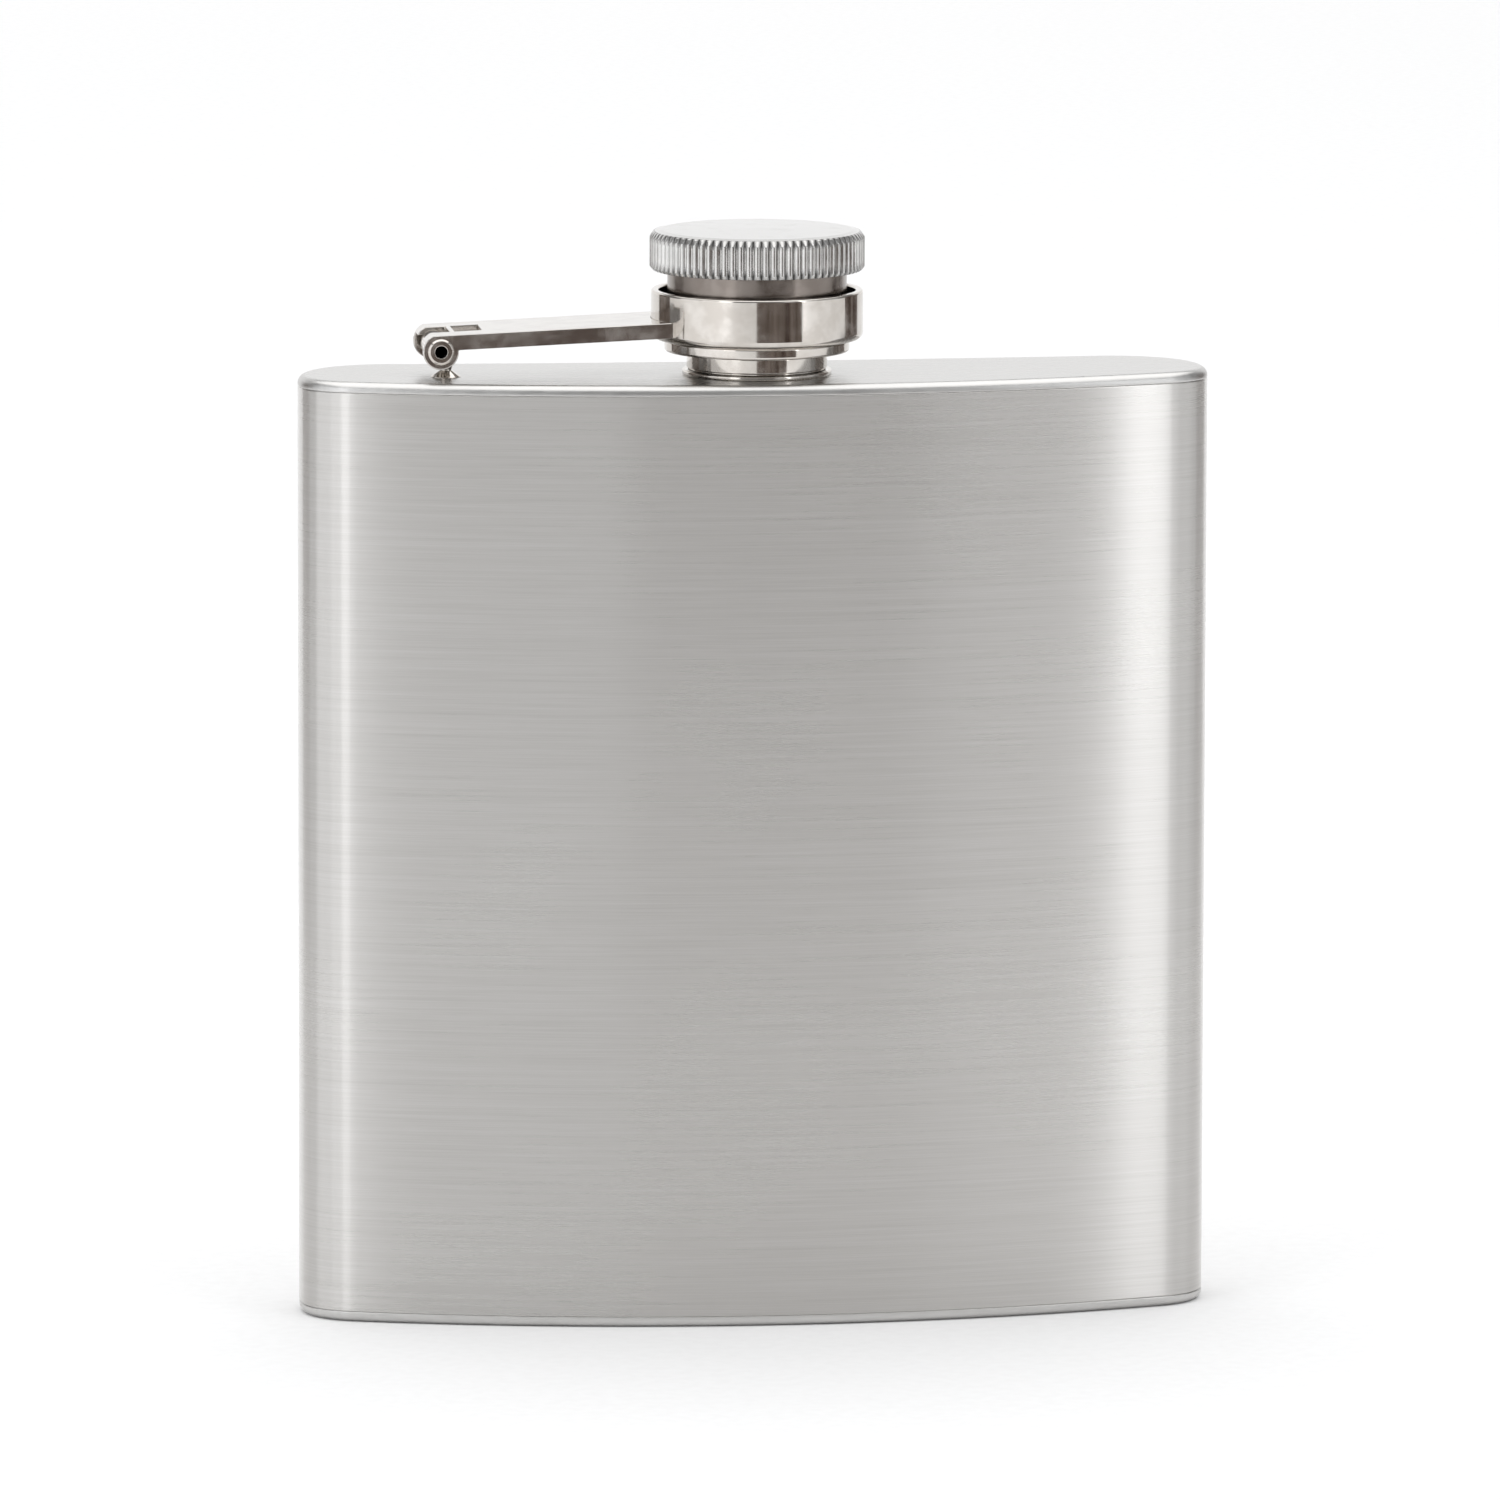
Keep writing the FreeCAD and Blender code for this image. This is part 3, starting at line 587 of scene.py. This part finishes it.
def refinedCopy(name, node, body, material, edge):
    # a merged copy of the frame's own solid, with its edges rounded to a radius of edge
    look = {"sharp": 35, "flat": 0.5, "merge": 0.0002, "segments": 3}
    piece = bpy.data.objects.new(name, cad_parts[node].data.copy())
    sharp, flat = math.radians(look["sharp"]), math.radians(look["flat"])
    work = bmesh.new()
    work.from_mesh(piece.data)
    bmesh.ops.remove_doubles(work, verts=work.verts, dist=look["merge"] * mm)
    bmesh.ops.dissolve_limit(work, angle_limit=flat, verts=work.verts, edges=work.edges)
    for side in work.edges:
        side.smooth = side.calc_face_angle(math.pi) < sharp
    work.to_mesh(piece.data)
    work.free()
    piece.data.polygons.foreach_set("use_smooth", np.ones(len(piece.data.polygons), bool))
    finishPiece(piece, material, body, node)
    rounding = piece.modifiers.new("roundedEdges", "BEVEL")
    rounding.width = edge * mm
    rounding.segments = look["segments"]
    rounding.limit_method = "ANGLE"
    rounding.angle_limit = sharp
    rounding.harden_normals = True
    rounding.use_clamp_overlap = False


def makePin():
    # rivet: a tube with rolled heads, spun round the pin's axis along Y; recess marks the bore
    # with painted shade, full from half a millimetre inside each end
    look = {
        "bore": 0.65, "shank": 0.85, "head": 1.45, "flat": 1.15, "seat": 5.67, "end": 5.9,
        "lipRound": 0.06, "headRound": 0.15, "headEdge": 0.05, "seatRound": 0.02,
        "columns": 48, "step": 0.3, "fade": 0.5, "boreMargin": 0.03,
    }
    end, seat, columns = look["end"], look["seat"], look["columns"]
    path = roundedPath([
        (look["bore"], -end, look["lipRound"]), (look["flat"], -end, look["headRound"]),
        (look["head"], -seat, look["headEdge"]), (look["shank"], -seat, look["seatRound"]),
        (look["shank"], seat, look["seatRound"]), (look["head"], seat, look["headEdge"]),
        (look["flat"], end, look["headRound"]), (look["bore"], end, look["lipRound"]),
    ], step=look["step"])
    turn = np.arange(columns) * 2 * math.pi / columns
    radius, along = path[:, :1], path[:, 1:]
    centre = np.array(sum(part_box("hinge_pin"), Vector()) / 2) / mm
    rings = np.stack([
        radius * np.cos(turn), np.repeat(along, columns, 1), radius * np.sin(turn),
    ], -1) + centre
    # painted shade inside the bore, fading out over the last half millimetre to each end
    inside = radius < look["bore"] + look["boreMargin"]
    recess = inside * smoothStep((end - np.abs(along)) / look["fade"])
    gridMesh("pinTube", rings, pinSteel, "arm", "hinge_pin", recess=np.repeat(recess, columns, 1))


makeCollar()
makePin()
refinedCopy("armChannel", "arm_strap", "arm", armSteel, edge=0.12)
refinedCopy("postEye", "hinge_post", "flask", fittingSteel, edge=0.08)
print("arm made")


# the cap's radii and heights above the shoulder, shared by its pieces
cap = {
    "bore": 8.0, "waist": 8.6, "liner": 9.3, "bead": 8.9, "beadLow": 2.8, "beadTop": 3.1,
    "roof": 13.9, "clearance": 0.02,
}
# the recess keys place painted shade in the knurl's valleys
knurl = {
    "count": 80, "depth": 0.34, "radius": 11.15, "from": 9.6, "columnsEach": 8,
    "paintedShadeLow": 11.3, "paintedShadeHigh": 14.4, "paintedShadeFade": 0.6, "paintedShadeMiddle": 0.1,
    "paintedShadeSharpness": 0.8, "paintedShadeFrom": 10.6,
}
groove = {
    "depth": 0.35, "half": 0.34, "flank": 0.16,
    "low": 3.6, "fadeIn": 0.8, "high": 12.4, "fadeOut": 0.6,
}


def knurlValley(turn):
    # 1 in a valley and 0 on a ridge: one minus the size of sin(half the ridges' turn)
    return 1 - np.abs(np.sin(turn * knurl["count"] / 2))


def knurlShape(turn, radius, height):
    # rounded ridges with sharp valleys, the same at every height, cut into whatever stands
    # outside the liner
    cut = np.minimum(radius, knurl["radius"] - knurl["depth"] * knurlValley(turn))
    return np.where(radius > knurl["from"], cut, radius)


def grooveShape(turn, radius, height):
    # screw groove cut into the liner's bore, between the waist and the seal
    phase = height / neck["pitch"] - turn / (2 * math.pi)
    across = np.abs(phase - np.round(phase))
    cut = smoothStep((groove["half"] - across) / groove["flank"])
    fade = smoothStep((height - groove["low"]) / groove["fadeIn"])
    fade = fade * smoothStep((groove["high"] - height) / groove["fadeOut"])
    inside = np.abs(radius - cap["bore"]) < 1e-6
    return radius + inside * cut * fade * groove["depth"]


def makeClip():
    # retaining ring: a rounded outer wall stepped inside to grip the liner's bead
    look = {
        "inner": 8.15, "upper": 8.65, "grip": 8.95, "outer": 9.6, "foot": 2.4, "gripLow": 2.75,
        "gripTop": 3.15, "top": 3.62, "round": 0.25, "edge": 0.05, "gripEdge": 0.02,
        "columns": 192,
    }
    path = roundedPath([
        (look["inner"], look["foot"], look["edge"]), (look["outer"], look["foot"], look["round"]),
        (look["outer"], look["top"], look["round"]), (look["upper"], look["top"], look["edge"]),
        (look["upper"], look["gripTop"], look["gripEdge"]),
        (look["grip"], look["gripTop"], look["gripEdge"]),
        (look["grip"], look["gripLow"], look["gripEdge"]),
        (look["inner"], look["gripLow"], look["edge"]),
    ])
    ring = spin(path, look["columns"])
    gridMesh("capClip", ring, fittingSteel, "cap_carrier", "cap_retaining_ring")


def makeButton():
    # knurled head: a cup with a thick rim and a slightly crowned top, spun round the axis and
    # knurled; painted shade is deepest in the valleys, heavy at both ends of each and light between
    look = {
        "foot": 10.85, "footRadius": 10.85, "sideFoot": 11.2, "sideTop": 14.25,
        "shoulder": 10.75, "shoulderTop": 14.85, "flat": 9.85, "flatTop": 15.0, "crown": 15.1,
        "edge": 0.1, "footRound": 0.15, "sideRound": 0.25, "shoulderRound": 0.3,
        "flatRound": 1.2, "step": 0.4,
    }
    inside, roof = cap["liner"] + cap["clearance"], cap["roof"] + cap["clearance"]
    path = roundedPath([
        (0, roof, 0), (inside, roof, look["edge"]), (inside, look["foot"], look["edge"]),
        (look["footRadius"], look["foot"], look["edge"]),
        (knurl["radius"], look["sideFoot"], look["footRound"]),
        (knurl["radius"], look["sideTop"], look["sideRound"]),
        (look["shoulder"], look["shoulderTop"], look["shoulderRound"]),
        (look["flat"], look["flatTop"], look["flatRound"]), (0, look["crown"], 0),
    ], closed=False, step=look["step"], arcPoints=8)
    rings = spin(path, knurl["count"] * knurl["columnsEach"], knurlShape)
    radius, height = path[:, :1], path[:, 1:]
    # painted shade: dark in the valleys, heaviest at both ends of each, where the V-grooves fall
    # into shade
    valley = knurlValley(np.arctan2(rings[:, :, 1], rings[:, :, 0])) ** knurl["paintedShadeSharpness"]
    between = smoothStep((height - knurl["paintedShadeLow"]) / knurl["paintedShadeFade"])
    between = between * smoothStep((knurl["paintedShadeHigh"] - height) / knurl["paintedShadeFade"])
    ends = 1 - (1 - knurl["paintedShadeMiddle"]) * between
    recess = valley * ends * (radius > knurl["paintedShadeFrom"])
    gridMesh("capButton", rings, capSteel, "cap", "cap_head", closed=False, merge=True,
             recess=recess)


def makeLiner():
    # liner: a tube with a bead at its foot, a waist for the arm's ring and a wider top, spun
    # round the axis; the seal is a disc with rounded edges under the cap's roof
    look = {
        "waistTop": 6.6, "wideFrom": 7.0, "edge": 0.1, "beadEdge": 0.08, "boreEdge": 0.05,
        "waistEdge": 0.02, "step": 0.15, "columns": 192,
    }
    path = roundedPath([
        (cap["bore"], cap["beadLow"], look["boreEdge"]),
        (cap["bead"], cap["beadLow"], look["beadEdge"]),
        (cap["bead"], cap["beadTop"], look["beadEdge"]),
        (cap["waist"], cap["beadTop"], look["waistEdge"]),
        (cap["waist"], look["waistTop"], look["edge"]),
        (cap["liner"], look["wideFrom"], look["edge"]),
        (cap["liner"], cap["roof"], 0), (cap["bore"], cap["roof"], 0),
    ], step=look["step"])
    liner = spin(path, look["columns"], grooveShape)
    # the liner steel is darker all over: painted shade under the head's overhang
    gridMesh("capLiner", liner, linerSteel, "cap", "cap_sleeve")
    seal = {"radius": 7.95, "low": 12.7, "edge": 0.2, "columns": 96}
    path = roundedPath([
        (0, seal["low"], 0), (seal["radius"], seal["low"], seal["edge"]),
        (seal["radius"], cap["roof"], seal["edge"]), (0, cap["roof"], 0),
    ], closed=False)
    disc = spin(path, seal["columns"])
    gridMesh("sealDisc", disc, sealRubber, "cap", "cap_gasket", closed=False, merge=True)


makeClip()
makeButton()
makeLiner()
print("cap made")


def makeWeld():
    # bead up the sleeve's inside: an oval section that swells and shrinks along its run and
    # closes at both ends
    look = {"columns": 12, "rows": 360, "swell": 0.12, "rate": 2.2, "endPower": 40}
    low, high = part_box("side_weld")
    centre, half = (low + high) / 2 / mm, (high - low) / 2 / mm
    turn = np.arange(look["columns"]) * 2 * math.pi / look["columns"]
    run = np.linspace(-half.z, half.z, look["rows"])[:, None]
    swell = 1 - look["swell"] * np.abs(np.sin(run * look["rate"]))
    swell = swell * np.sqrt(np.clip(1 - (np.abs(run) / half.z) ** look["endPower"], 0, 1))
    rings = np.stack([
        centre.x + half.x * swell * np.cos(turn), centre.y + half.y * swell * np.sin(turn),
        np.repeat(run + centre.z, look["columns"], 1),
    ], -1)
    gridMesh("weldBead", rings, beadSteel, "flask", "side_weld", closed=False, merge=True)


makeWeld()
print("weld made")


def stagePlane(name, corners, material):
    # one flat face between corners given in metres, for the studio only
    mesh = bpy.data.meshes.new(name)
    mesh.from_pydata(corners, [], [tuple(range(len(corners)))])
    plane = bpy.data.objects.new(name, mesh)
    bpy.context.scene.collection.objects.link(plane)
    plane.data.materials.append(material)
    return plane


def makeFloor():
    # white paper sweep: matt, with faint fibre
    look = {"colour": "#FAFAFA", "dull": "#F7F7F7", "fibre": 1.5, "half": 6.0}
    material, tree, shader = startMaterial("paperSweep", {"Roughness": 0.9})
    place = addNode(tree, "ShaderNodeTexCoord")
    fibre = addNode(tree, "ShaderNodeTexNoise", {"Scale": 1 / (look["fibre"] * mm), "Detail": 2.0},
                    {"Vector": place.outputs["Object"]})
    tint = addNode(tree, "ShaderNodeValToRGB", {
        "stops": [(0.35, look["dull"]), (0.65, look["colour"])],
    }, {"Fac": fibre.outputs["Fac"]})
    feed(tree, shader, {"Base Color": tint.outputs["Color"]})
    half = look["half"]
    corners = [(-half, -half, 0), (half, -half, 0), (half, half, 0), (-half, half, 0)]
    stagePlane("floor", corners, material)


def around(azimuth, elevation):
    # direction away from the flask: azimuth 0 is the front, positive to the right of its face
    a, e = math.radians(azimuth), math.radians(elevation)
    return Vector((math.sin(a) * math.cos(e), -math.cos(a) * math.cos(e), math.sin(e)))


def makeLights():
    # each is azimuth, elevation, distance, width, height in metres, and watts
    lights = {
        "topSoftbox": (180, 88, 1.6, 3.0, 2.8, 39.0),
        "backdropGlow": (180, 14, 1.9, 3.4, 1.2, 10.0),
        "rightWide": (36, 10, 1.2, 0.56, 1.1, 0.8),
        "rightCore": (44, 10, 1.18, 0.09, 1.1, 0.9),
        "rightMiddle": (54, 10, 1.19, 0.36, 1.1, 0.7),
        "rightSide": (78, 10, 1.2, 0.6, 1.1, 0.6),
        "leftBank": (-41, 10, 1.19, 0.30, 1.1, 1.8),
        "leftMiddle": (-58, 10, 1.2, 0.45, 1.1, 1.6),
        "leftSide": (-84, 10, 1.2, 0.65, 1.1, 1.7),
    }
    aim = Vector((0, 0, 0.055))
    coolWhite = (0.96, 0.975, 1.0)  # the side banks are slightly cooler than the top
    for name, (azimuth, elevation, distance, width, height, power) in lights.items():
        data = bpy.data.lights.new(name, "AREA")
        data.shape = "RECTANGLE"
        data.size, data.size_y = width, height
        data.energy = power
        if name.startswith(("left", "right")):
            data.color = coolWhite
        lamp = bpy.data.objects.new(name, data)
        bpy.context.scene.collection.objects.link(lamp)
        away = around(azimuth, elevation)
        lamp.location = aim + away * distance
        lamp.rotation_euler = away.to_track_quat("Z", "Y").to_euler()
        lamp.visible_camera = False


def makeFlags():
    # dark cloth cards that only polished steel sees: azimuth, distance, width and height in metres
    flags = {
        "frontFlag": (18, 0.62, 0.58, 0.10),
        "rightFlag": (119, 0.8, 0.42, 0.35),
        "leftFlag": (-128, 0.8, 0.34, 0.35),
    }
    look = {"dark": "#524742", "light": "#827973", "weave": 71.43}
    material, tree, shader = startMaterial("flagCloth", {
        "Roughness": 0.95, "Specular IOR Level": 0.0,
    })
    place = addNode(tree, "ShaderNodeTexCoord")
    weave = addNode(tree, "ShaderNodeTexNoise", {
        "Scale": 1 / (look["weave"] * mm), "Detail": 3.0,
    }, {"Vector": place.outputs["Object"]})
    tint = addNode(tree, "ShaderNodeValToRGB", {
        "stops": [(0.38, look["dark"]), (0.6, look["light"])],
    }, {"Fac": weave.outputs["Fac"]})
    feed(tree, shader, {"Base Color": tint.outputs["Color"]})
    for name, (azimuth, distance, width, height) in flags.items():
        away = around(azimuth, 0)
        side = Vector((-away.y, away.x, 0)).normalized() * (width / 2)
        left, right = away * distance - side, away * distance + side
        rise = Vector((0, 0, height))
        card = stagePlane(name, [left, right, right + rise, left + rise], material)
        card.visible_camera = card.visible_diffuse = card.visible_shadow = False


def makeWorld():
    # faint even light from all round
    look = {"colour": "#E9E9EA", "strength": 0.35}
    world = bpy.data.worlds.new("studioAir")
    bpy.context.scene.world = world
    world.use_nodes = True
    background = world.node_tree.nodes["Background"]
    background.inputs["Color"].default_value = toLinear(look["colour"])
    background.inputs["Strength"].default_value = look["strength"]


def makeCamera():
    # a long lens a little to the left of the front and slightly above
    view = {
        "azimuth": -6.885, "elevation": 8.549, "distance": 1.58464, "lens": 365.1,
        "sensor": 36.0, "clip": (0.05, 50.0), "roll": 0.137,
        "centre": (0.0, 0.0, 0.0492), "aim": (-0.00044, 0.00147, 0.05868),
    }
    data = bpy.data.cameras.new("studioCamera")
    data.sensor_width, data.lens = view["sensor"], view["lens"]
    data.clip_start, data.clip_end = view["clip"]
    camera = bpy.data.objects.new("studioCamera", data)
    bpy.context.scene.collection.objects.link(camera)
    back = around(view["azimuth"], view["elevation"])
    camera.location = Vector(view["centre"]) + back * view["distance"]
    away = camera.location - Vector(view["aim"])
    turn = away.to_track_quat("Z", "Y").to_matrix().to_4x4()
    turn = turn @ Matrix.Rotation(math.radians(view["roll"]), 4, "Z")
    camera.rotation_euler = turn.to_euler()
    bpy.context.scene.camera = camera


makeFloor()
makeLights()
makeFlags()
makeWorld()
makeCamera()
bpy.context.scene.view_settings.view_transform = "Standard"
print("studio made")
